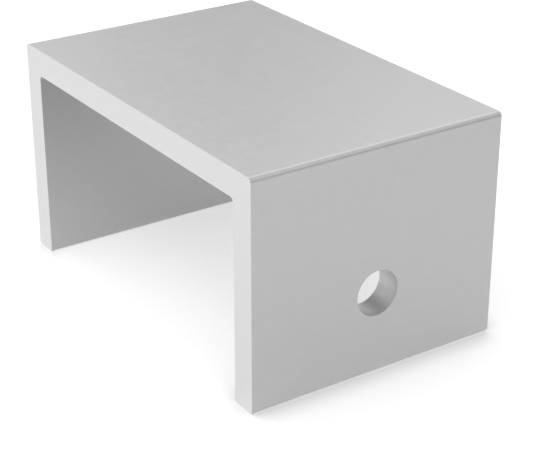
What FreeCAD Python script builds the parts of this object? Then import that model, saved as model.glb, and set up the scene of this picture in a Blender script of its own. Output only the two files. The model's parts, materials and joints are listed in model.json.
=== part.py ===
import FreeCAD, Part
import os

# Anti-slip clip for a solar mounting rail: one short slice of U-shaped aluminium extrusion.
# It straddles the rail with its open side down. A self-drilling screw through the hole in its
# right flange fixes it to the rail's side, and its sawn end then meets the roof hook or clamp,
# so that the rail can't slide down the roof.
#
# Lengths are in millimetres. X runs across the channel, Y along the extrusion and the rail,
# and Z up. The origin is in the plane of the toes, at the middle of the channel and of the
# cut length.

# The extruded section
channel_width = 40.0  # clear gap between the flanges, which takes the rail
channel_depth = 22.0  # from the plane of the toes up to the underside of the web
web_thickness = 3.0
flange_thickness = 3.0
outer_corner_radius = 0.5
inner_corner_radius = 0.5
toe_radius = 0.5  # both edges of each toe

# The saw cuts
cut_length = 30.0
sawn_edge_break = 0.05

# The screw hole, drilled through the right flange only, at the middle of the cut length
hole_diameter = 5.0
hole_height = 9.0  # from the plane of the toes to the hole's axis
hole_edge_break = 0.05

# Faces of the section that the features below line up with
flange_inner_x = channel_width / 2
flange_outer_x = flange_inner_x + flange_thickness
web_inner_z = channel_depth
web_outer_z = web_inner_z + web_thickness
sawn_end_y = cut_length / 2

SAME_PLACE = 1e-6  # two coordinates this close are the same


def section_point(x, z):
    """A point of the section, in the plane where the near saw cut will be."""
    return FreeCAD.Vector(x, -sawn_end_y, z)


def rounded_corner(before, corner, after, radius):
    """The arc that rounds one right-angled corner, as its start, middle and end."""
    towards_before = (before - corner).normalize()
    towards_after = (after - corner).normalize()
    start = corner + towards_before * radius
    end = corner + towards_after * radius
    centre = start + towards_after * radius
    outwards = (corner - centre).normalize()
    return start, centre + outwards * radius, end


def rounded_outline(corners):
    """A closed wire round right-angled corners, each given as its x, z and radius."""
    points = [section_point(x, z) for x, z, radius in corners]
    radii = [radius for x, z, radius in corners]
    following = points[1:] + points[:1]
    preceding = points[-1:] + points[:-1]
    arcs = [rounded_corner(*corner) for corner in zip(preceding, points, following, radii)]

    edges = []
    for arc, next_arc in zip(arcs, arcs[1:] + arcs[:1]):
        edges.append(Part.Arc(*arc).toShape())
        edges.append(Part.LineSegment(arc[-1], next_arc[0]).toShape())
    return Part.Wire(edges)


def extruded_section():
    """The U-shaped section, open downwards, pushed along Y for the cut length."""
    outline = rounded_outline(
        [
            (-flange_outer_x, 0, toe_radius),
            (-flange_outer_x, web_outer_z, outer_corner_radius),
            (flange_outer_x, web_outer_z, outer_corner_radius),
            (flange_outer_x, 0, toe_radius),
            (flange_inner_x, 0, toe_radius),
            (flange_inner_x, web_inner_z, inner_corner_radius),
            (-flange_inner_x, web_inner_z, inner_corner_radius),
            (-flange_inner_x, 0, toe_radius),
        ]
    )
    return Part.Face(outline).extrude(FreeCAD.Vector(0, cut_length, 0))


def lies_in_a_saw_cut(edge):
    """True for an edge that runs round one of the two sawn ends."""
    return all(abs(abs(v.Y) - sawn_end_y) < SAME_PLACE for v in edge.Vertexes)


def break_sawn_edges(slice_of_extrusion):
    """Takes the saw's burr off all round both ends, with a small chamfer."""
    burred = [edge for edge in slice_of_extrusion.Edges if lies_in_a_saw_cut(edge)]
    return slice_of_extrusion.makeChamfer(sawn_edge_break, burred)


def screw_hole():
    """The drilled hole with its two deburred mouths, as one turned solid to cut away."""
    drill_radius = hole_diameter / 2
    mouth_radius = drill_radius + hole_edge_break
    profile = Part.makePolygon(
        [
            FreeCAD.Vector(flange_inner_x, 0, 0),
            FreeCAD.Vector(flange_inner_x, 0, mouth_radius),
            FreeCAD.Vector(flange_inner_x + hole_edge_break, 0, drill_radius),
            FreeCAD.Vector(flange_outer_x - hole_edge_break, 0, drill_radius),
            FreeCAD.Vector(flange_outer_x, 0, mouth_radius),
            FreeCAD.Vector(flange_outer_x, 0, 0),
            FreeCAD.Vector(flange_inner_x, 0, 0),
        ]
    )
    full_turn = 360
    tool = Part.Face(profile).revolve(FreeCAD.Vector(), FreeCAD.Vector(1, 0, 0), full_turn)
    tool.translate(FreeCAD.Vector(0, 0, hole_height))
    return tool


def anti_slip_clip():
    """The whole clip, which is one piece of metal."""
    return break_sawn_edges(extruded_section()).cut(screw_hole())


os.makedirs("parts", exist_ok=True)
clip = anti_slip_clip()
clip.exportStep("parts/anti_slip_clip.step")
print(f"anti_slip_clip: {len(clip.Solids)} solid, {clip.Volume:.1f} mm3, valid {clip.isValid()}")
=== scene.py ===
"""Dresses the anti-slip clip: a short slice of U-shaped aluminium extrusion with one drilled hole.

The clip is one piece of metal, so it is one closed mesh. Its surface is a set of sheets, each a
grid of points worked out at once, and neighbouring sheets share the points of their boundary:

- the outer and the inner side of the extruded section, and its two toes
- the two sawn ends, with a small rounding where each meets the extruded skin
- the flat ground round the hole on both sides of the right flange, and the drilled wall

Lengths are in metres. X runs across the channel, Y along the extrusion and Z up from the toes.
"""

import json
import logging
import math
from collections.abc import Mapping, Sequence
from dataclasses import dataclass
from enum import Enum
from typing import Any

import bpy
import numpy as np
from mathutils import Matrix, Vector

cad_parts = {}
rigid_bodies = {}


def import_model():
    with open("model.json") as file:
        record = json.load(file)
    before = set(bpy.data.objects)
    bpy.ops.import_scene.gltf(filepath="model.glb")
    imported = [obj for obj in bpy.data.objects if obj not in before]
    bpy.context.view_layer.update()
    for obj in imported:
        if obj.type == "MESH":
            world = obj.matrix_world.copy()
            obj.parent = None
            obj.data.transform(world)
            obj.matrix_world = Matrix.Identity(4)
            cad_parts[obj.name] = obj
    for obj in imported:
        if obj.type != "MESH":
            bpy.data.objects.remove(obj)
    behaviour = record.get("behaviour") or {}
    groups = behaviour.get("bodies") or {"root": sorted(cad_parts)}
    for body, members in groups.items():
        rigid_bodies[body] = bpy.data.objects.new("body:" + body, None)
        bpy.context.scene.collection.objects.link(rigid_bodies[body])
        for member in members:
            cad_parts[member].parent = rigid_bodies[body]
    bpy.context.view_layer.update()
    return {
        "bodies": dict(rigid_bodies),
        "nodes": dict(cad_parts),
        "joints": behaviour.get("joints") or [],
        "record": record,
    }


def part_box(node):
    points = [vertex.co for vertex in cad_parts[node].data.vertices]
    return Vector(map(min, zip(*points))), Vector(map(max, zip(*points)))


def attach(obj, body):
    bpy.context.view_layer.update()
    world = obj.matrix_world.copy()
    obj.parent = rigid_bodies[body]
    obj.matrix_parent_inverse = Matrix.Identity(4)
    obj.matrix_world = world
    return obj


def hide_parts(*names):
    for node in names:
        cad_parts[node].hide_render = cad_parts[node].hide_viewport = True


LOG = logging.getLogger("clip")

NODE = "anti_slip_clip"
BODY = "root"
MM = 0.001
WEAR = "wear"  # the mesh attribute that says how near a point is to a rubbed edge
WELD_DECIMALS = 8  # points that agree to this many decimals of a metre are one point


class Finish(Enum):
    """What made a stretch of the surface. The value is its material slot on the mesh."""

    EXTRUDED = 0
    SAWN = 1
    DRILLED = 2


def stations(
    start: float, end: float, cells: int, holds: tuple[Sequence[float], Sequence[float]]
) -> np.ndarray:
    """Places along a straight run: even cells, and a few narrow ones beside its ends.

    Args:
        start: where the run starts.
        end: where it ends.
        cells: the number of even cells in its middle.
        holds: distances of the narrow cells' lines from the start, and those from the end.

    Returns:
        The places in order, with both ends.
    """
    way = math.copysign(1.0, end - start)
    near = start + way * np.array([0.0, *holds[0]])
    far = end - way * np.array([0.0, *holds[1]])[::-1]
    middle = np.linspace(near[-1], far[0], cells + 1)
    return np.concatenate([near[:-1], middle, far[1:]])


def arc(
    centre: tuple[float, float], radius: float, start: float, end: float, cells: int
) -> np.ndarray:
    """Points of a circular arc: the centre plus the radius times cosine and sine of the angle.

    Args:
        centre: the arc's centre.
        radius: its radius.
        start: the angle where it starts, in degrees.
        end: the angle where it ends.
        cells: how many cells it is cut into.

    Returns:
        An array of cells + 1 points.
    """
    angle = np.radians(np.linspace(start, end, cells + 1))
    round_zero = radius * np.stack([np.cos(angle), np.sin(angle)], axis=1)
    return round_zero + np.array(centre)


def chain(pieces: Sequence[np.ndarray]) -> np.ndarray:
    """Joins runs of points end to end, keeping each shared point once."""
    return np.concatenate([pieces[0], *[piece[1:] for piece in pieces[1:]]])


@dataclass(frozen=True)
class Sheet:
    """A grid of points on the clip's surface. Along a row, crossed with down a column, is outwards.

    Attributes:
        points: rows by columns by three.
        finish: what made this stretch.
        kept: rows by columns of cells, false where another sheet takes a cell's place.
    """

    points: np.ndarray
    finish: Finish
    kept: np.ndarray | None = None

    def corners(self) -> np.ndarray:
        """The cells' corners as indices into the flattened points, four to a row.

        Returns:
            An array with one row for each kept cell.
        """
        rows, columns = self.points.shape[:2]
        index = np.arange(rows * columns).reshape(rows, columns)
        cells = np.stack([index[:-1, :-1], index[:-1, 1:], index[1:, 1:], index[1:, :-1]], axis=-1)
        return cells.reshape(-1, 4) if self.kept is None else cells[self.kept]


@dataclass(frozen=True)
class ClipSizes:
    """The clip's sizes.

    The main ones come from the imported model, and the small ones are stated here.

    Attributes:
        half_width: half the width over both flanges.
        half_length: half the cut length.
        height: from the toes to the top.
        half_gap: half the channel's width.
        web_underside: the height of the web's underside.
        hole_height: the height of the hole's axis.
        hole_radius: the hole's radius.
        corner_radius: the radius of the section's roundings.
        edge_break: the radius of the broken edges at the sawn ends and the hole.
    """

    half_width: float
    half_length: float
    height: float
    half_gap: float
    web_underside: float
    hole_height: float
    hole_radius: float
    corner_radius: float = 0.5 * MM
    edge_break: float = 0.02 * MM

    @classmethod
    def from_frame(cls, frame: Mapping[str, Any]) -> "ClipSizes":
        """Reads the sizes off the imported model's box and its record's mounts.


        Returns:
            The clip's sizes.
        """
        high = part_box(NODE)[1]
        mounts = {mount["name"]: mount for mount in frame["record"]["mounts"]}
        return cls(
            half_width=high.x,
            half_length=high.y,
            height=high.z,
            half_gap=mounts["right_cheek"]["pos_m"][0],
            web_underside=mounts["web_seat"]["pos_m"][2],
            hole_height=mounts["screw_hole"]["pos_m"][2],
            hole_radius=mounts["screw_hole"]["dims"]["r_mm"] * MM,
        )


@dataclass(frozen=True)
class Clip:
    """The extruded, sawn and drilled clip, as one closed mesh.

    Attributes:
        sizes: the clip's sizes.
        corner_cells: cells round each rounding of the section.
        break_cells: cells round each broken edge.
        square_cells: cells along each side of the square of flat ground round the hole.
        square_half: half the side of that square.
        square_corner: the angle of its lower near corner, seen from the hole's axis, in degrees.
        ring_cells: cells from the hole's mouth out to the square.
        web_cells: cells across the web.
        rest_cells: cells along each stretch beside the square.
        wall_cells: cells along the drilled wall.
        holds: how far from an edge the lines run that keep its shading narrow.
        wear_reach: how far from an edge its rubbing fades to about a third.
    """

    sizes: ClipSizes
    corner_cells: int = 10
    break_cells: int = 4
    square_cells: int = 28
    square_half: float = 5.0 * MM
    square_corner: float = 225.0
    ring_cells: int = 7
    web_cells: int = 46
    rest_cells: int = 12
    wall_cells: int = 14
    holds: tuple[float, float] = (0.1 * MM, 0.35 * MM)
    wear_reach: float = 0.22 * MM

    def along(self) -> np.ndarray:
        """Places along the extrusion, from one broken edge to the other.

        Returns:
            The places in order, even over the square round the hole.
        """
        end = self.sizes.half_length - self.sizes.edge_break
        square = np.linspace(-self.square_half, self.square_half, self.square_cells + 1)
        near = stations(-end, -self.square_half, self.rest_cells, (self.holds, ()))
        return chain([near, square, -near[::-1]])

    def up_flange(self, top: float) -> np.ndarray:
        """Places up one side of a flange, from its toe's rounding to the rounding at its top.

        Args:
            top: where the rounding at its top starts.

        Returns:
            The places in order, even over the square round the hole.
        """
        centre = self.sizes.hole_height
        low, high = centre - self.square_half, centre + self.square_half
        return chain(
            [
                stations(self.sizes.corner_radius, low, self.rest_cells // 2, (self.holds, ())),
                np.linspace(low, high, self.square_cells + 1),
                stations(high, top, self.rest_cells, ((), self.holds)),
            ]
        )

    def outer_side(self, inset: float) -> np.ndarray:
        """The outer side of the section, from the left toe over the web to the right toe.

        Args:
            inset: how far inside the metal the line runs, as it does at a broken edge.

        Returns:
            Its points as x and z.
        """
        s, r = self.sizes, self.sizes.corner_radius
        up = self.up_flange(s.height - r)
        left, right, turn = r - s.half_width, s.half_width - r, r - inset
        across = stations(left, right, self.web_cells, (self.holds, self.holds))
        return chain(
            [
                arc((left, r), turn, 270, 180, self.corner_cells),
                np.stack([np.full_like(up, inset - s.half_width), up], axis=1),
                arc((left, s.height - r), turn, 180, 90, self.corner_cells),
                np.stack([across, np.full_like(across, s.height - inset)], axis=1),
                arc((right, s.height - r), turn, 90, 0, self.corner_cells),
                np.stack([np.full_like(up, s.half_width - inset), up[::-1]], axis=1),
                arc((right, r), turn, 0, -90, self.corner_cells),
            ]
        )

    def inner_side(self, inset: float) -> np.ndarray:
        """The channel's side of the section, station by station opposite the outer side.

        Args:
            inset: how far inside the metal the line runs, as it does at a broken edge.

        Returns:
            Its points as x and z.
        """
        s, r = self.sizes, self.sizes.corner_radius
        up = self.up_flange(s.web_underside - r)
        across = stations(r - s.half_gap, s.half_gap - r, self.web_cells, (self.holds, self.holds))
        toe, root, turn, hollow = s.half_gap + r, s.half_gap - r, r - inset, r + inset
        return chain(
            [
                arc((-toe, r), turn, -90, 0, self.corner_cells),
                np.stack([np.full_like(up, -s.half_gap - inset), up], axis=1),
                arc((-root, s.web_underside - r), hollow, 180, 90, self.corner_cells),
                np.stack([across, np.full_like(across, s.web_underside + inset)], axis=1),
                arc((root, s.web_underside - r), hollow, 90, 0, self.corner_cells),
                np.stack([np.full_like(up, s.half_gap + inset), up[::-1]], axis=1),
                arc((toe, r), turn, 180, 270, self.corner_cells),
            ]
        )

    def through_wall(self) -> np.ndarray:
        """Shares of the way through the wall, with narrow ones beside both skins.

        Returns:
            The shares in order, from 0 at the outer side to 1 at the inner one.
        """
        wall = self.sizes.half_width - self.sizes.half_gap
        near = np.array(self.holds) / wall
        return np.array([0.0, *near, 0.5, *(1.0 - near[::-1]), 1.0])

    def across_wall(self, inset: float) -> np.ndarray:
        """The whole section as a grid: station by station along it, and outer to inner side.

        Args:
            inset: how far inside the metal its border runs.

        Returns:
            An array of stations by shares by two, as x and z.
        """
        outer, inner = self.outer_side(inset)[:, None], self.inner_side(inset)[:, None]
        share = self.through_wall()[None, :, None]
        return outer + share * (inner - outer)

    def border(self, inset: float) -> np.ndarray:
        """The section's closed border: out along the outer side, back along the inner one.

        Args:
            inset: how far inside the metal it runs.

        Returns:
            Its points as x and z, with the first one again at the end.
        """
        grid = self.across_wall(inset)
        return chain([grid[:, 0], grid[-1], grid[::-1, -1], grid[0, ::-1]])

    def hole_cells(self, side: np.ndarray) -> np.ndarray:
        """Tells which cells of one side's skin make way for the ground round the hole.

        Args:
            side: the side's points as x and z.

        Returns:
            True for each cell that stays, in stations by places along the extrusion.
        """
        middle = (side[1:] + side[:-1]) / 2
        along = self.along()
        beside = np.abs((along[1:] + along[:-1]) / 2) < self.square_half
        level = np.abs(middle[:, 1] - self.sizes.hole_height) < self.square_half
        right_flange = middle[:, 0] > self.sizes.half_gap - self.sizes.corner_radius
        return ~((level & right_flange)[:, None] & beside[None, :])

    def skin(self) -> list[Sheet]:
        """The extruded skin: each line of the section, carried straight along Y.

        Returns:
            The sheets of the outer side, the inner side and the two toes.
        """
        along = self.along()

        def carried(line: np.ndarray) -> np.ndarray:
            """Sets the line's points at every place along the extrusion.

            Args:
                line: points as x and z.

            Returns:
                An array of the line's points by places by three.
            """
            shape = (len(line), len(along))
            x, z = (np.broadcast_to(part[:, None], shape) for part in line.T)
            return np.stack([x, np.broadcast_to(along, shape), z], axis=-1)

        grid = self.across_wall(0.0)
        outer, inner = grid[:, 0], grid[:, -1]
        return [
            Sheet(carried(outer)[:, ::-1], Finish.EXTRUDED, self.hole_cells(outer)[:, ::-1]),
            Sheet(carried(inner), Finish.EXTRUDED, self.hole_cells(inner)),
            Sheet(carried(grid[0]), Finish.EXTRUDED),
            Sheet(carried(grid[-1])[:, ::-1], Finish.EXTRUDED),
        ]

    def sawn_ends(self) -> list[Sheet]:
        """The two sawn ends, and the quarter round where each meets the skin.

        Round an edge, the border moves inwards by the break times one minus the cosine of the
        angle, while it moves towards the end by the break times its sine. The skin's finish runs
        to the middle of the quarter round.

        Returns:
            The sheets of both ends.
        """
        turn, length = self.sizes.edge_break, self.sizes.half_length
        angle = np.radians(np.linspace(0, 90, self.break_cells + 1))
        border = np.stack([self.border(inset) for inset in turn * (1 - np.cos(angle))], axis=1)
        reach = np.broadcast_to(length - turn + turn * np.sin(angle), border.shape[:2])
        face = self.across_wall(turn)
        half = self.break_cells // 2
        sheets = []
        for side in (-1, 1):
            rounding = np.stack([border[..., 0], side * reach, border[..., 1]], axis=-1)
            level = np.full(face.shape[:2], side * length)
            end = np.stack([face[..., 0], level, face[..., 1]], axis=-1)
            sheets += [
                Sheet(rounding[:, : half + 1][:, ::-side], Finish.EXTRUDED),
                Sheet(rounding[:, half:][:, ::-side], Finish.SAWN),
                Sheet(end[:, ::-side], Finish.SAWN),
            ]
        return sheets

    def hole_circle(self, x: np.ndarray, radius: np.ndarray) -> np.ndarray:
        """Circles round the hole's axis, as Y by cosine and Z by sine of one turn of the angle.

        Args:
            x: where each circle stands on the axis.
            radius: each circle's radius.

        Returns:
            One turn of points for each circle, starting at the square's lower near corner.
        """
        start = self.square_corner
        turn = np.radians(np.linspace(start, start + 360.0, 4 * self.square_cells + 1))
        shape = (len(turn), len(x))
        y = radius[None, :] * np.cos(turn)[:, None]
        z = self.sizes.hole_height + radius[None, :] * np.sin(turn)[:, None]
        return np.stack([np.broadcast_to(x, shape), y, z], axis=-1)

    def ground(self, x: float, outwards: int) -> Sheet:
        """The flat ground round one mouth of the hole, from a circle out to a square.

        Each line of it leads straight from a point of the circle to its point of the square, and
        its first cell is narrow.

        Args:
            x: the flange's face.
            outwards: 1 on the outer face, and -1 in the channel.

        Returns:
            The sheet.
        """
        mouth = self.sizes.hole_radius + self.sizes.edge_break
        circles = self.hole_circle(np.full(2, x), np.array([mouth, mouth + self.holds[0]]))
        side = np.linspace(-self.square_half, self.square_half, self.square_cells + 1)
        low, high = np.full_like(side, side[0]), np.full_like(side, side[-1])
        y = chain([side, high, side[::-1], low])
        z = chain([low, side, high, side[::-1]]) + self.sizes.hole_height
        square = np.stack([np.full_like(y, x), y, z], axis=-1)[:, None]
        share = np.linspace(0, 1, self.ring_cells + 1)[None, :, None]
        lines = circles[:, 1:] + share * (square - circles[:, 1:])
        points = np.concatenate([circles[:, :1], lines], axis=1)
        return Sheet(points[:, ::outwards], Finish.EXTRUDED)

    def drilled_wall(self) -> list[Sheet]:
        """The hole's wall with a quarter round at each mouth, as one profile turned round its axis.

        The skin's finish runs to the middle of each quarter round.

        Returns:
            The sheets of the two mouths and of the wall between them.
        """
        s, turn = self.sizes, self.sizes.edge_break
        mouth = arc((s.half_width - turn, s.hole_radius + turn), turn, 0, -90, self.break_cells)
        wall = np.linspace(s.half_width - turn, s.half_gap + turn, self.wall_cells + 1)
        straight = np.stack([wall, np.full_like(wall, s.hole_radius)], axis=1)
        far_mouth = arc((s.half_gap + turn, s.hole_radius + turn), turn, 270, 180, self.break_cells)
        profile = chain([mouth, straight, far_mouth])
        points = self.hole_circle(profile[:, 0], profile[:, 1])
        half = self.break_cells // 2
        return [
            Sheet(points[:, : half + 1][:, ::-1], Finish.EXTRUDED),
            Sheet(points[:, half:-half][:, ::-1], Finish.DRILLED),
            Sheet(points[:, -half - 1 :][:, ::-1], Finish.EXTRUDED),
        ]

    def wear(self, points: np.ndarray) -> np.ndarray:
        """How rubbed each point is: 1 on an outward edge, fading with distance as an exponential.

        The distance is the least of those to the section's outward corners, to the borders of the
        sawn ends and to the two rims of the hole.

        Args:
            points: the mesh's points.

        Returns:
            A value from 0 to 1 for each.
        """
        s = self.sizes
        x, y, z = np.abs(points[:, 0]), np.abs(points[:, 1]), points[:, 2]
        corners = [(s.half_width, s.height), (s.half_width, 0.0), (s.half_gap, 0.0)]
        long_edges = [np.hypot(x - cx, z - cz) - s.corner_radius for cx, cz in corners]
        from_channel = np.maximum(x - s.half_gap, z - s.web_underside)
        inside = np.minimum.reduce([s.half_width - x, s.height - z, z, from_channel])
        sawn_edge = np.hypot(np.maximum(inside, 0.0), s.half_length - y)
        from_rim = np.hypot(points[:, 1], z - s.hole_height) - s.hole_radius
        rims = [np.hypot(from_rim, points[:, 0] - at) for at in (s.half_width, s.half_gap)]
        nearest = np.minimum.reduce([*long_edges, sawn_edge, *rims])
        return np.exp(-np.maximum(nearest, 0.0) / self.wear_reach)

    def build(self, materials: Mapping[Finish, bpy.types.Material]) -> bpy.types.Object:
        """Welds the sheets into one closed mesh and dresses it.

        Args:
            materials: the material of each finish.

        Returns:
            The clip's object, at the origin.
        """
        sheets = [*self.skin(), *self.sawn_ends(), *self.drilled_wall()]
        sheets += [self.ground(self.sizes.half_width, 1), self.ground(self.sizes.half_gap, -1)]
        points = [sheet.points.reshape(-1, 3) for sheet in sheets]
        counts = np.cumsum([0, *[len(part) for part in points]])
        points = np.concatenate(points)
        places = points.round(WELD_DECIMALS)
        _, first, welded = np.unique(places, axis=0, return_index=True, return_inverse=True)
        corners = [sheet.corners() for sheet in sheets]
        faces = welded.ravel()[np.concatenate([c + start for c, start in zip(corners, counts)])]
        slots = np.repeat([sheet.finish.value for sheet in sheets], [len(c) for c in corners])
        used, faces = np.unique(faces, return_inverse=True)
        faces = faces.reshape(-1, 4)
        points = points[first][used]

        mesh = bpy.data.meshes.new(f"{NODE}_metal")
        mesh.vertices.add(len(points))
        mesh.vertices.foreach_set("co", points.astype(np.float32).ravel())
        mesh.loops.add(faces.size)
        mesh.loops.foreach_set("vertex_index", faces.astype(np.int32).ravel())
        mesh.polygons.add(len(faces))
        mesh.polygons.foreach_set("loop_start", np.arange(0, faces.size, 4, dtype=np.int32))
        mesh.update(calc_edges=True)
        mesh.polygons.foreach_set("material_index", slots.astype(np.int32))
        mesh.polygons.foreach_set("use_smooth", np.ones(len(faces), dtype=bool))
        worn = mesh.attributes.new(WEAR, "FLOAT", "POINT")
        worn.data.foreach_set("value", self.wear(points).astype(np.float32))
        for finish in Finish:
            mesh.materials.append(materials[finish])
        made = bpy.data.objects.new(f"{NODE}_metal", mesh)
        bpy.context.scene.collection.objects.link(made)
        LOG.info("%s: %d points, %d faces", made.name, len(points), len(faces))
        return made


class Wiring:
    """Adds nodes to one node tree and joins them."""

    def __init__(self, tree: bpy.types.NodeTree) -> None:
        """Starts on an empty tree."""
        self.tree = tree
        tree.nodes.clear()

    def node(
        self, kind: str, inputs: Mapping[str | int, Any] | None = None, **settings: Any
    ) -> bpy.types.Node:
        """Adds one node.

        Args:
            kind: the node's type.
            inputs: for each socket, by name or place, another node's socket or a value.
            settings: the node's own settings.

        Returns:
            The node.
        """
        made = self.tree.nodes.new(kind)
        for name, value in settings.items():
            setattr(made, name, value)
        for socket, value in (inputs or {}).items():
            if isinstance(value, bpy.types.NodeSocket):
                self.tree.links.new(value, made.inputs[socket])
            else:
                made.inputs[socket].default_value = value
        return made

    def math(self, operation: str, *values: Any) -> bpy.types.NodeSocket:
        """Adds a Math node on these values or sockets and returns its result."""
        return self.node("ShaderNodeMath", dict(enumerate(values)), operation=operation).outputs[0]

    def vector(self, operation: str, *values: Any) -> Mapping[str, bpy.types.NodeSocket]:
        """Adds a Vector Math node on these values or sockets and returns its outputs by name."""
        inputs = dict(enumerate(values))
        return self.node("ShaderNodeVectorMath", inputs, operation=operation).outputs

    def ranged(self, value: bpy.types.NodeSocket, low: float, high: float) -> bpy.types.NodeSocket:
        """Spreads a value from 0 to 1 over the range from low to high."""
        spread = self.node("ShaderNodeMapRange", {"Value": value, "To Min": low, "To Max": high})
        return spread.outputs["Result"]


def group(
    name: str, inputs: Mapping[str, tuple[str, Any]], output: str
) -> tuple[Wiring, bpy.types.Node]:
    """Starts a node group with named sockets and one value that it puts out.

    Args:
        name: the group's name.
        inputs: for each input, its socket type and its usual value.
        output: the name of what it puts out.

    Returns:
        The wiring of its tree, and its input node.
    """
    tree = bpy.data.node_groups.new(name, "ShaderNodeTree")
    for label, (kind, usual) in inputs.items():
        tree.interface.new_socket(label, in_out="INPUT", socket_type=kind).default_value = usual
    tree.interface.new_socket(output, in_out="OUTPUT", socket_type="NodeSocketFloat")
    wiring = Wiring(tree)
    return wiring, wiring.node("NodeGroupInput")


class SurfaceEffects:
    """The effects that more than one finish uses, each a node group."""

    def __init__(self) -> None:
        """Builds the groups."""
        self.grain = self.build_grain()
        self.rubbed_edge = self.build_rubbed_edge()

    @staticmethod
    def build_grain() -> bpy.types.NodeTree:
        """Cloudy noise with its own density along each axis, spread about a half.

        Returns:
            The group, which puts out a value from 0 to 1.
        """
        wiring, given = group(
            "grain",
            {
                "Density": ("NodeSocketVector", (1000.0, 1000.0, 1000.0)),
                "Detail": ("NodeSocketFloat", 2.0),
                "Contrast": ("NodeSocketFloat", 1.0),
            },
            "Value",
        )
        place = wiring.node("ShaderNodeTexCoord").outputs["Object"]
        spread = wiring.vector("MULTIPLY", place, given.outputs["Density"])["Vector"]
        noise = wiring.node(
            "ShaderNodeTexNoise",
            {"Vector": spread, "Scale": 1.0, "Detail": given.outputs["Detail"]},
        ).outputs[0]
        from_mean = wiring.math("SUBTRACT", noise, 0.5)
        value = wiring.math("MULTIPLY_ADD", from_mean, given.outputs["Contrast"], 0.5)
        clamped = wiring.node("ShaderNodeClamp", {"Value": value}).outputs["Result"]
        wiring.node("NodeGroupOutput", {"Value": clamped})
        return wiring.tree

    @staticmethod
    def build_rubbed_edge() -> bpy.types.NodeTree:
        """The mesh's own wear value, broken up along each edge by noise.

        Returns:
            The group, which puts out a value from 0 to 1.
        """
        wiring, given = group("rubbed_edge", {"Density": ("NodeSocketFloat", 900.0)}, "Value")
        wear = wiring.node("ShaderNodeAttribute", attribute_name=WEAR).outputs["Fac"]
        place = wiring.node("ShaderNodeTexCoord").outputs["Object"]
        noise = wiring.node(
            "ShaderNodeTexNoise",
            {"Vector": place, "Scale": given.outputs["Density"], "Detail": 3.0},
        ).outputs[0]
        patchy = wiring.node(
            "ShaderNodeMapRange", {"Value": noise, "From Min": 0.3, "From Max": 0.7}
        ).outputs["Result"]
        wiring.node("NodeGroupOutput", {"Value": wiring.math("MULTIPLY", wear, patchy)})
        return wiring.tree


@dataclass(frozen=True)
class Metal:
    """What the three finishes have in common: the alloy's colour and how its edges rub.

    Attributes:
        name: the material's name.
        tone: the alloy's mean colour.
        tone_spread: by how much its cloudiness darkens and lightens it.
        cloud_density: the cloudiness, in patches per metre.
        roughness: the least and the greatest roughness.
        relief: the height of the tool marks, in metres.
        mark_contrast: by how much the marks darken and lighten the tone.
        grain_density: the matt grain, in grains per metre.
        grain_relief: the grain's height, in metres.
        edge_lift: by how much a rubbed edge is lighter.
    """

    name: str
    tone: float = 0.46
    tone_spread: float = 0.01
    cloud_density: float = 900.0
    roughness: tuple[float, float] = (0.365, 0.415)
    relief: float = 0.002 * MM
    mark_contrast: float = 0.015
    grain_density: float = 1700.0
    grain_relief: float = 0.012 * MM
    edge_lift: float = 0.01

    def marks(self, wiring: Wiring, effects: SurfaceEffects) -> bpy.types.NodeSocket:
        """The tool marks' height, from 0 to 1. Each finish has its own.

        Args:
            wiring: the material's tree.
            effects: the shared groups.

        Returns:
            The socket that gives it.
        """
        raise NotImplementedError

    def grain(
        self,
        wiring: Wiring,
        effects: SurfaceEffects,
        density: Sequence[float],
        detail: float,
        contrast: float,
    ) -> bpy.types.NodeSocket:
        """Places the grain group.

        Args:
            wiring: the material's tree.
            effects: the shared groups.
            density: patches per metre along X, Y and Z.
            detail: how many finer layers it has.
            contrast: how far it spreads about a half.

        Returns:
            The socket of its value.
        """
        placed = wiring.node("ShaderNodeGroup", node_tree=effects.grain)
        placed.inputs["Density"].default_value = density
        placed.inputs["Detail"].default_value = detail
        placed.inputs["Contrast"].default_value = contrast
        return placed.outputs["Value"]

    def build(self, effects: SurfaceEffects) -> bpy.types.Material:
        """Wires the material: cloudiness in tone and roughness, tool marks in tone and relief.

        Args:
            effects: the shared groups.

        Returns:
            The material.
        """
        material = bpy.data.materials.new(self.name)
        material.use_nodes = True
        wiring = Wiring(material.node_tree)
        cloud = self.grain(wiring, effects, (self.cloud_density,) * 3, detail=4.0, contrast=1.8)
        rubbed = wiring.node("ShaderNodeGroup", node_tree=effects.rubbed_edge).outputs["Value"]
        tone = wiring.ranged(cloud, self.tone - self.tone_spread, self.tone + self.tone_spread)
        tone = wiring.math("ADD", tone, wiring.math("MULTIPLY", rubbed, self.edge_lift))
        marks = self.marks(wiring, effects)
        from_mean = wiring.math("SUBTRACT", marks, 0.5)
        tone = wiring.math("MULTIPLY_ADD", from_mean, self.mark_contrast, tone)
        grey = {"Red": tone, "Green": tone, "Blue": tone}
        colour = wiring.node("ShaderNodeCombineColor", grey).outputs["Color"]
        grain = self.grain(wiring, effects, (self.grain_density,) * 3, detail=2.0, contrast=1.0)
        height = wiring.math("MULTIPLY", marks, self.relief)
        height = wiring.math("MULTIPLY_ADD", grain, self.grain_relief, height)
        bump = wiring.node("ShaderNodeBump", {"Height": height, "Distance": 1.0, "Strength": 1.0})
        shader = wiring.node(
            "ShaderNodeBsdfPrincipled",
            {
                "Base Color": colour,
                "Metallic": 1.0,
                "Roughness": wiring.ranged(cloud, *self.roughness),
                "Normal": bump.outputs["Normal"],
            },
        )
        wiring.node("ShaderNodeOutputMaterial", {"Surface": shader.outputs["BSDF"]})
        LOG.info("material %s", self.name)
        return material


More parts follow.
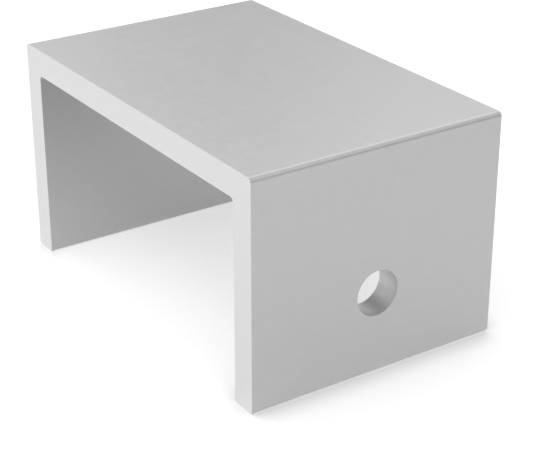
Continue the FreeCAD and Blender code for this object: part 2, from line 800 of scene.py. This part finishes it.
@dataclass(frozen=True)
class ExtrudedSkin(Metal):
    """Matt skin with faint straight lines that the die drew along the extrusion.

    Attributes:
        lines_across: lines per metre across the extrusion.
        lines_along: how often they change along it, per metre.
    """

    lines_across: float = 7000.0
    lines_along: float = 45.0

    def marks(self, wiring: Wiring, effects: SurfaceEffects) -> bpy.types.NodeSocket:
        """Grain drawn out along the extrusion."""
        density = (self.lines_across, self.lines_along, self.lines_across)
        return self.grain(wiring, effects, density, detail=3.0, contrast=1.4)


@dataclass(frozen=True)
class SawnFace(Metal):
    """Face with shallow arcs, all round the place where the saw's spindle stood.

    Its tone is paler than the skin's.

    Attributes:
        spindle: the spindle's place as x, y and z, in metres.
        arcs: arcs per metre outwards from the spindle.
    """

    tone: float = 0.66
    roughness: tuple[float, float] = (0.42, 0.48)
    mark_contrast: float = 0.04
    spindle: tuple[float, float, float] = (-0.055, 0.0, 0.170)
    arcs: float = 5200.0

    def marks(self, wiring: Wiring, effects: SurfaceEffects) -> bpy.types.NodeSocket:
        """Noise along the distance from the spindle, so that it makes arcs.

        Args:
            wiring: the material's tree.
            effects: the shared groups, which the arcs don't need.

        Returns:
            The socket that gives it.
        """
        place = wiring.node("ShaderNodeTexCoord").outputs["Object"]
        away = wiring.vector("SUBTRACT", place, self.spindle)["Vector"]
        flat = wiring.vector("MULTIPLY", away, (1.0, 0.0, 1.0))["Vector"]
        distance = wiring.vector("LENGTH", flat)["Value"]
        return wiring.node(
            "ShaderNodeTexNoise",
            {"W": wiring.math("MULTIPLY", distance, self.arcs), "Scale": 1.0, "Detail": 3.0},
            noise_dimensions="1D",
        ).outputs[0]


@dataclass(frozen=True)
class DrilledWall(Metal):
    """Wall of the hole, with the drill's feed rings. It is fresh metal, as the sawn faces are.

    Attributes:
        rings: rings per metre along the hole.
        ring_breaks: how often a ring changes on its way round, per metre.
    """

    tone: float = 0.60
    roughness: tuple[float, float] = (0.51, 0.57)
    mark_contrast: float = 0.10
    rings: float = 6500.0
    ring_breaks: float = 120.0

    def marks(self, wiring: Wiring, effects: SurfaceEffects) -> bpy.types.NodeSocket:
        """Grain squeezed along the hole's axis, so that it makes rings."""
        density = (self.rings, self.ring_breaks, self.ring_breaks)
        return self.grain(wiring, effects, density, detail=2.0, contrast=1.6)


@dataclass(frozen=True)
class SoftBox:
    """A square lamp that looks at the clip.

    Attributes:
        name: the lamp's name.
        azimuth: its direction from the clip, in degrees. 0 is towards -Y, and 90 towards +X.
        elevation: its height above the horizon, in degrees.
        side: its side, in metres.
        brightness: how bright its face is, where 1 is white.
        distance: from the clip, in metres.
        in_metal: whether the metal shows it. One that it doesn't show lights the floor alone.
    """

    name: str
    azimuth: float
    elevation: float
    side: float
    brightness: float
    distance: float = 0.6
    in_metal: bool = True

    def build(self, target: Vector) -> None:
        """Hangs the lamp. Its power is its brightness times pi times its area.

        Args:
            target: what it looks at.
        """
        across, up = math.radians(self.azimuth), math.radians(self.elevation)
        level = Vector((math.sin(across), -math.cos(across), 0.0))
        away = level * math.cos(up) + Vector((0.0, 0.0, math.sin(up)))
        lamp = bpy.data.lights.new(self.name, "AREA")
        lamp.size = self.side
        lamp.energy = self.brightness * math.pi * self.side**2
        hung = bpy.data.objects.new(self.name, lamp)
        facing = away.to_track_quat("Z", "Y").to_matrix().to_4x4()
        hung.matrix_world = Matrix.Translation(target + away * self.distance) @ facing
        hung.visible_camera = False
        hung.visible_glossy = self.in_metal
        bpy.context.scene.collection.objects.link(hung)


@dataclass(frozen=True)
class LowScreen:
    """A low grey screen that stands round the floor, where only the metal sees it.

    Attributes:
        radius: how far from the clip it stands, in metres.
        elevation: how high it reaches above the horizon, in degrees.
        brightness: how bright it is, where 1 is white.
        cells: how many flat stretches it has.
    """

    radius: float = 1.5
    elevation: float = 22.0
    brightness: float = 0.5
    cells: int = 72

    def build(self) -> bpy.types.Object:
        """Stands the screen up: a circle's points on the floor, and the same points higher up.

        Returns:
            The screen's object.
        """
        turn = np.linspace(0.0, 2.0 * np.pi, self.cells, endpoint=False)
        height = self.radius * math.tan(math.radians(self.elevation))
        foot = self.radius * np.stack([np.cos(turn), np.sin(turn), np.zeros(self.cells)], axis=1)
        points = np.concatenate([foot, foot + (0.0, 0.0, height)])
        here = np.arange(self.cells)
        following = (here + 1) % self.cells
        faces = np.stack([following, here, here + self.cells, following + self.cells], axis=1)
        mesh = bpy.data.meshes.new("low_screen")
        mesh.from_pydata(points.tolist(), [], faces.tolist())
        material = bpy.data.materials.new("grey_screen")
        material.use_nodes = True
        wiring = Wiring(material.node_tree)
        light = wiring.node("ShaderNodeEmission", {"Strength": self.brightness})
        wiring.node("ShaderNodeOutputMaterial", {"Surface": light.outputs[0]})
        mesh.materials.append(material)
        screen = bpy.data.objects.new("low_screen", mesh)
        screen.visible_camera = screen.visible_diffuse = False
        screen.visible_shadow = screen.visible_transmission = False
        bpy.context.scene.collection.objects.link(screen)
        return screen


@dataclass(frozen=True)
class ContactShade:
    """Soft shade painted on the floor close to the clip.

    Attributes:
        reach: how near the clip has to be, in metres.
        depth: how much of the floor's own white goes where the clip is all that a point sees. A
            negative depth paints light on the floor instead, in under an edge.
    """

    reach: float
    depth: float


@dataclass(frozen=True)
class Studio:
    """White floor under a white sky, with a low grey screen and soft boxes.

    Attributes:
        floor_side: the floor's side, in metres.
        floor_glow: the part of the floor's white that no lamp's shadow takes away.
        shades: the painted contact shades on the floor, one of them painted light, which the camera
            sees and the metal doesn't.
        shade_ramp_half: the painted contact shades are left off the left flange's inner foot. This
            is how far each side of the channel's middle they come in.
        mouth_depth: how far into the channel's two mouths they still reach on that side.
        fade: how far from the clip the floor starts to whiten, and where it is all white.
        floor_colour: the colour that shades the rest.
        sky: how much light the sky sheds on what isn't metal, where 1 is white.
        screen: the screen round the floor.
        boxes: the lamps.
    """

    floor_side: float = 4.0
    floor_glow: float = 0.46
    shades: tuple[ContactShade, ...] = (
        ContactShade(3.0 * MM, 0.44),
        ContactShade(8.0 * MM, 0.23),
        # painted light on the floor, in under the toes' roundings, not a shade
        ContactShade(0.3 * MM, -0.40),
    )
    shade_ramp_half: float = 5.0 * MM
    mouth_depth: float = 0.5 * MM
    fade: tuple[float, float] = (0.12, 0.60)
    floor_colour: float = 0.8
    sky: float = 0.42
    screen: LowScreen = LowScreen()
    boxes: tuple[SoftBox, ...] = (
        SoftBox("right_box", azimuth=90, elevation=40, side=0.55, brightness=0.34),
        SoftBox("front_right_box", azimuth=60, elevation=40, side=0.55, brightness=0.90),
        SoftBox("front_left_box", azimuth=-60, elevation=40, side=0.55, brightness=0.80),
        SoftBox("left_box", azimuth=-90, elevation=40, side=0.55, brightness=0.55),
        SoftBox("back_left_box", azimuth=-144, elevation=38, side=0.32, brightness=0.82),
        SoftBox("floor_box", azimuth=0, elevation=55, side=0.30, brightness=1.56, in_metal=False),
    )

    def far_ground(self, wiring: Wiring) -> bpy.types.NodeSocket:
        """Rises with the distance from the clip, so that the floor meets the sky without a line.

        Args:
            wiring: the floor's tree.

        Returns:
            The socket that gives it.
        """
        place = wiring.node("ShaderNodeTexCoord").outputs["Object"]
        near, far = self.fade
        return wiring.node(
            "ShaderNodeMapRange",
            {"Value": wiring.vector("LENGTH", place)["Value"], "From Min": near, "From Max": far},
        ).outputs["Result"]

    def shaded_ground(self, wiring: Wiring, sizes: ClipSizes) -> bpy.types.NodeSocket:
        """Tells the floor that takes the contact shades from that at the left flange's inner foot.

        The value is the greatest of three. One rises from 0 to 1 leftwards through the left
        flange, one rightwards over the middle of the channel, and one outwards through the
        channel's mouths.

        Args:
            wiring: the floor's tree.
            sizes: the clip's sizes.

        Returns:
            The socket that gives it.
        """
        place = wiring.node("ShaderNodeTexCoord").outputs["Object"]
        x, y, _ = wiring.node("ShaderNodeSeparateXYZ", {"Vector": place}).outputs
        rises = (
            (x, -sizes.half_gap, -sizes.half_width),
            # the painted contact shades ramp in over the channel's middle, leaving the left
            # flange's inner foot bare
            (x, -self.shade_ramp_half, self.shade_ramp_half),
            (wiring.math("ABSOLUTE", y), sizes.half_length - self.mouth_depth, sizes.half_length),
        )
        left, right, mouths = (
            wiring.node(
                "ShaderNodeMapRange",
                {"Value": value, "From Min": start, "From Max": end},
            ).outputs["Result"]
            for value, start, end in rises
        )
        return wiring.math("MAXIMUM", wiring.math("MAXIMUM", left, right), mouths)

    def build_floor(self, sizes: ClipSizes) -> bpy.types.Object:
        """Lays the floor just under the toes.

        Args:
            sizes: the clip's sizes.

        Returns:
            The floor's object.
        """
        half = self.floor_side / 2
        mesh = bpy.data.meshes.new("floor")
        corners = [(-half, -half, 0), (half, -half, 0), (half, half, 0), (-half, half, 0)]
        mesh.from_pydata(corners, [], [(0, 1, 2, 3)])
        material = bpy.data.materials.new("white_floor")
        material.use_nodes = True
        wiring = Wiring(material.node_tree)
        shaded = wiring.node("ShaderNodeBsdfDiffuse", {"Color": (*[self.floor_colour] * 3, 1.0)})
        seen = wiring.node("ShaderNodeLightPath").outputs["Is Camera Ray"]
        shown = wiring.math("MULTIPLY", seen, self.shaded_ground(wiring, sizes))
        strength = self.floor_glow
        for shade in self.shades:
            around = wiring.node("ShaderNodeAmbientOcclusion", {"Distance": shade.reach})
            closed = wiring.math("SUBTRACT", 1.0, around.outputs["AO"])
            closed = wiring.math("MULTIPLY", closed, shown)
            taken = wiring.math("MULTIPLY", closed, shade.depth)
            strength = wiring.math("SUBTRACT", strength, taken)
        far = wiring.math("MULTIPLY", seen, self.far_ground(wiring))
        strength = wiring.math("ADD", strength, far)
        glow = wiring.node("ShaderNodeEmission", {"Strength": strength})
        both = wiring.node("ShaderNodeAddShader", {0: shaded.outputs[0], 1: glow.outputs[0]})
        wiring.node("ShaderNodeOutputMaterial", {"Surface": both.outputs[0]})
        mesh.materials.append(material)
        floor = bpy.data.objects.new("floor", mesh)
        bpy.context.scene.collection.objects.link(floor)
        return floor

    def build_sky(self) -> None:
        """Makes the sky white to the camera, in metal and through glass."""
        world = bpy.data.worlds.new("white_sky")
        world.use_nodes = True
        bpy.context.scene.world = world
        wiring = Wiring(world.node_tree)
        path = wiring.node("ShaderNodeLightPath")
        seen = wiring.math("MAXIMUM", path.outputs["Is Camera Ray"], path.outputs["Is Glossy Ray"])
        seen = wiring.math("MAXIMUM", seen, path.outputs["Is Transmission Ray"])
        strength = wiring.ranged(seen, self.sky, 1.0)
        white = (1.0, 1.0, 1.0, 1.0)
        light = wiring.node("ShaderNodeBackground", {"Color": white, "Strength": strength})
        wiring.node("ShaderNodeOutputWorld", {"Surface": light.outputs[0]})

    def build(self, sizes: ClipSizes) -> None:
        """Builds the floor, the screen, the sky and the lamps, which look at the clip's middle.

        Args:
            sizes: the clip's sizes.
        """
        self.build_floor(sizes)
        self.screen.build()
        self.build_sky()
        target = Vector((0.0, 0.0, sizes.height / 2))
        for box in self.boxes:
            box.build(target)
        bpy.context.scene.view_settings.view_transform = "Standard"
        LOG.info("studio: floor, screen, sky and %d soft boxes", len(self.boxes))


@dataclass(frozen=True)
class Viewpoint:
    """Where the clip is seen from.

    Attributes:
        position: the camera's place, in metres.
        azimuth: its direction from the clip, in degrees. 0 is towards -Y, and 90 towards +X.
        elevation: how far it looks down, in degrees.
        roll: how far it is turned about its own axis, in degrees.
        focal_length: in millimetres, on the sensor below.
        sensor_width: in millimetres.
        sight: the nearest and the farthest that it sees, in metres.
    """

    position: tuple[float, float, float] = (0.129587, -0.084336, 0.080652)
    azimuth: float = 56.3075
    elevation: float = 25.3940
    roll: float = -0.0849
    focal_length: float = 104.11
    sensor_width: float = 36.0
    sight: tuple[float, float] = (0.001, 50.0)

    def build(self) -> None:
        """Places the camera. Its own axes are worked out from the three angles."""
        across, down, turn = (math.radians(a) for a in (self.azimuth, self.elevation, self.roll))
        away = Vector((math.sin(across), -math.cos(across), 0.0))
        back = away * math.cos(down) + Vector((0.0, 0.0, math.sin(down)))
        level = Vector((math.cos(across), math.sin(across), 0.0))
        upright = back.cross(level)
        right = level * math.cos(turn) + upright * math.sin(turn)
        up = upright * math.cos(turn) - level * math.sin(turn)
        lens = bpy.data.cameras.new("camera")
        lens.lens, lens.sensor_width = self.focal_length, self.sensor_width
        lens.clip_start, lens.clip_end = self.sight
        camera = bpy.data.objects.new("camera", lens)
        turned = Matrix((right, up, back)).transposed().to_4x4()
        camera.matrix_world = Matrix.Translation(self.position) @ turned
        bpy.context.scene.collection.objects.link(camera)
        bpy.context.scene.camera = camera


def main() -> None:
    """Builds the clip, the studio and the camera in order."""
    logging.basicConfig(level=logging.INFO, format="%(message)s")
    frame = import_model()

    effects = SurfaceEffects()
    materials = {
        Finish.EXTRUDED: ExtrudedSkin("extruded_skin").build(effects),
        Finish.SAWN: SawnFace("sawn_face").build(effects),
        Finish.DRILLED: DrilledWall("drilled_wall").build(effects),
    }
    sizes = ClipSizes.from_frame(frame)
    clip = Clip(sizes).build(materials)
    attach(clip, BODY)
    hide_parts(NODE)

    Studio().build(sizes)
    Viewpoint().build()


if __name__ == "__main__":
    main()
